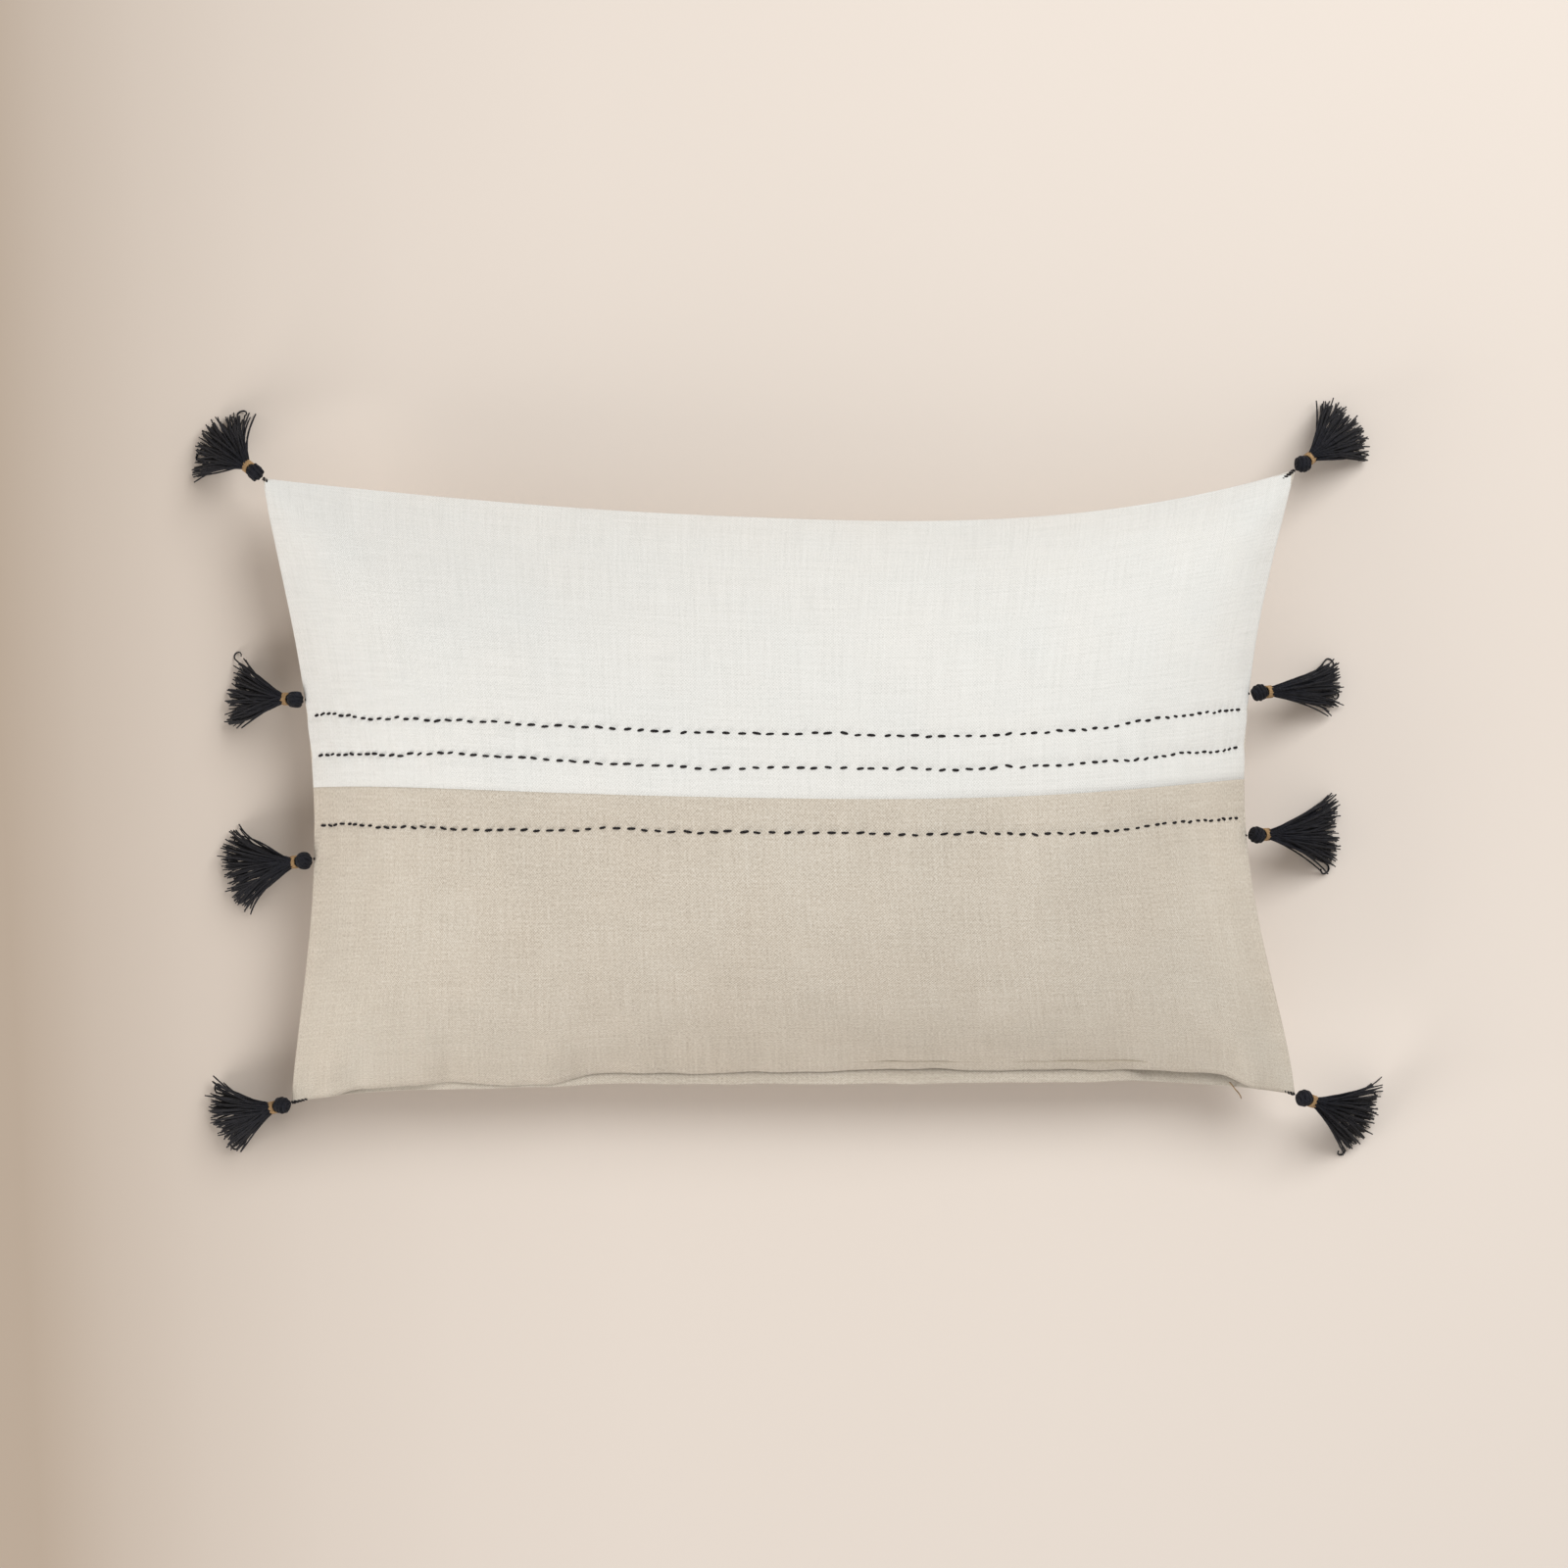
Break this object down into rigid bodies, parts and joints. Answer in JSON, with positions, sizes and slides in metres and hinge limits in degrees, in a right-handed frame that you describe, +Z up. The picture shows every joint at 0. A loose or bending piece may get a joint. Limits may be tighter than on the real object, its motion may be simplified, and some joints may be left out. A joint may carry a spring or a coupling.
{
  "type": "throw pillow",
  "caption": "Oblong two-tone throw pillow with hand-stitched rows, a concealed zip along its lower edge, a removable insert and tasselled short sides.",
  "frame": {"origin": "middle of the flat patch on the back panel that the pillow lies on", "axes": "+X along the pillow's length with the white half towards +Y, +Z up out of the front"},
  "size_m": [0.5921, 0.3755, 0.1125],
  "materials": {
    "white_cotton": "slub plain weave, matt",
    "beige_linen": "linen-look weave, matt",
    "dark_thread": "twisted hand-stitching thread",
    "tassel_thread": "rayon thread, slight sheen",
    "tan_wrap": "wound thread",
    "sewing_thread": "polyester sewing thread",
    "insert_casing": "thin plain-weave casing",
    "insert_fibre": "loose polyester fibre",
    "zip_tape": "woven tape",
    "zip_coil": "nylon coil",
    "zip_metal": "die-cast zinc"
  },
  "bodies": {
    "cushion": {"back_panel": "beige_linen", "front_lower_panel": "beige_linen", "front_upper_panel": "white_cotton", "insert_casing_back": "insert_casing", "insert_casing_front": "insert_casing", "insert_fill": "insert_fibre", "left_tassel_1_cord": "tassel_thread", "left_tassel_2_cord": "tassel_thread", "left_tassel_3_cord": "tassel_thread", "left_tassel_4_cord": "tassel_thread", "panel_join_thread": "sewing_thread", "perimeter_seam_thread": "sewing_thread", "right_tassel_1_cord": "tassel_thread", "right_tassel_2_cord": "tassel_thread", "right_tassel_3_cord": "tassel_thread", "right_tassel_4_cord": "tassel_thread", "stitch_row_lower": "dark_thread", "stitch_row_middle": "dark_thread", "stitch_row_upper": "dark_thread", "zip_bottom_stop": "zip_metal", "zip_coil_back": "zip_coil", "zip_coil_front": "zip_coil", "zip_tape_back": "zip_tape", "zip_tape_front": "zip_tape", "zip_top_stop_back": "zip_metal", "zip_top_stop_front": "zip_metal"},
    "zip_slider": {"zip_slider": "zip_metal"},
    "zip_pull_tab": {"zip_pull_tab": "zip_metal"},
    "left_tassel_1_swivel": {"left_tassel_1_knot": "tassel_thread"},
    "left_tassel_1_fringe": {"left_tassel_1_band": "tan_wrap", "left_tassel_1_skirt": "tassel_thread"},
    "left_tassel_2_swivel": {"left_tassel_2_knot": "tassel_thread"},
    "left_tassel_2_fringe": {"left_tassel_2_band": "tan_wrap", "left_tassel_2_skirt": "tassel_thread"},
    "left_tassel_3_swivel": {"left_tassel_3_knot": "tassel_thread"},
    "left_tassel_3_fringe": {"left_tassel_3_band": "tan_wrap", "left_tassel_3_skirt": "tassel_thread"},
    "left_tassel_4_swivel": {"left_tassel_4_knot": "tassel_thread"},
    "left_tassel_4_fringe": {"left_tassel_4_band": "tan_wrap", "left_tassel_4_skirt": "tassel_thread"},
    "right_tassel_1_swivel": {"right_tassel_1_knot": "tassel_thread"},
    "right_tassel_1_fringe": {"right_tassel_1_band": "tan_wrap", "right_tassel_1_skirt": "tassel_thread"},
    "right_tassel_2_swivel": {"right_tassel_2_knot": "tassel_thread"},
    "right_tassel_2_fringe": {"right_tassel_2_band": "tan_wrap", "right_tassel_2_skirt": "tassel_thread"},
    "right_tassel_3_swivel": {"right_tassel_3_knot": "tassel_thread"},
    "right_tassel_3_fringe": {"right_tassel_3_band": "tan_wrap", "right_tassel_3_skirt": "tassel_thread"},
    "right_tassel_4_swivel": {"right_tassel_4_knot": "tassel_thread"},
    "right_tassel_4_fringe": {"right_tassel_4_band": "tan_wrap", "right_tassel_4_skirt": "tassel_thread"}
  },
  "joints": [
    {"name": "zip_slide", "type": "slide", "parent": "cushion", "child": "zip_slider", "axis": [-1, 0, 0], "range_m": [0, 0.396]},
    {"name": "zip_pull_tab_hinge", "type": "hinge", "parent": "zip_slider", "child": "zip_pull_tab", "pos_m": [0.2005, -0.1354, 0.042], "axis": [0, 0, 1], "range_deg": [0, 150]},
    {"name": "left_tassel_1_swing", "type": "hinge", "parent": "cushion", "child": "left_tassel_1_swivel", "pos_m": [-0.25639, 0.15231, 0.042], "axis": [0, 0, 1], "range_deg": [-35, 35]},
    {"name": "left_tassel_1_lift", "type": "hinge", "parent": "left_tassel_1_swivel", "child": "left_tassel_1_fringe", "pos_m": [-0.25639, 0.15231, 0.042], "axis": [0.6018, 0.7986, 0], "range_deg": [-40, 95]},
    {"name": "left_tassel_2_swing", "type": "hinge", "parent": "cushion", "child": "left_tassel_2_swivel", "pos_m": [-0.23695, 0.04217, 0.042], "axis": [0, 0, 1], "range_deg": [-35, 35]},
    {"name": "left_tassel_2_lift", "type": "hinge", "parent": "left_tassel_2_swivel", "child": "left_tassel_2_fringe", "pos_m": [-0.23695, 0.04217, 0.042], "axis": [0.0698, 0.9976, 0], "range_deg": [-40, 95]},
    {"name": "left_tassel_3_swing", "type": "hinge", "parent": "cushion", "child": "left_tassel_3_swivel", "pos_m": [-0.23273, -0.03599, 0.042], "axis": [0, 0, 1], "range_deg": [-35, 35]},
    {"name": "left_tassel_3_lift", "type": "hinge", "parent": "left_tassel_3_swivel", "child": "left_tassel_3_fringe", "pos_m": [-0.23273, -0.03599, 0.042], "axis": [-0.1392, 0.9903, 0], "range_deg": [-40, 95]},
    {"name": "left_tassel_4_swing", "type": "hinge", "parent": "cushion", "child": "left_tassel_4_swivel", "pos_m": [-0.24329, -0.15452, 0.042], "axis": [0, 0, 1], "range_deg": [-35, 35]},
    {"name": "left_tassel_4_lift", "type": "hinge", "parent": "left_tassel_4_swivel", "child": "left_tassel_4_fringe", "pos_m": [-0.24329, -0.15452, 0.042], "axis": [-0.2756, 0.9613, 0], "range_deg": [-40, 95]},
    {"name": "right_tassel_1_swing", "type": "hinge", "parent": "cushion", "child": "right_tassel_1_swivel", "pos_m": [0.25139, 0.15631, 0.042], "axis": [0, 0, 1], "range_deg": [-35, 35]},
    {"name": "right_tassel_1_lift", "type": "hinge", "parent": "right_tassel_1_swivel", "child": "right_tassel_1_fringe", "pos_m": [0.25139, 0.15631, 0.042], "axis": [0.6018, -0.7986, 0], "range_deg": [-40, 95]},
    {"name": "right_tassel_2_swing", "type": "hinge", "parent": "cushion", "child": "right_tassel_2_swivel", "pos_m": [0.23043, 0.04551, 0.042], "axis": [0, 0, 1], "range_deg": [-35, 35]},
    {"name": "right_tassel_2_lift", "type": "hinge", "parent": "right_tassel_2_swivel", "child": "right_tassel_2_fringe", "pos_m": [0.23043, 0.04551, 0.042], "axis": [0.0872, -0.9962, 0], "range_deg": [-40, 95]},
    {"name": "right_tassel_3_swing", "type": "hinge", "parent": "cushion", "child": "right_tassel_3_swivel", "pos_m": [0.22919, -0.02348, 0.042], "axis": [0, 0, 1], "range_deg": [-35, 35]},
    {"name": "right_tassel_3_lift", "type": "hinge", "parent": "right_tassel_3_swivel", "child": "right_tassel_3_fringe", "pos_m": [0.22919, -0.02348, 0.042], "axis": [0.0349, -0.9994, 0], "range_deg": [-40, 95]},
    {"name": "right_tassel_4_swing", "type": "hinge", "parent": "cushion", "child": "right_tassel_4_swivel", "pos_m": [0.2521, -0.15106, 0.042], "axis": [0, 0, 1], "range_deg": [-35, 35]},
    {"name": "right_tassel_4_lift", "type": "hinge", "parent": "right_tassel_4_swivel", "child": "right_tassel_4_fringe", "pos_m": [0.2521, -0.15106, 0.042], "axis": [-0.3746, -0.9272, 0], "range_deg": [-40, 95]}
  ]
}
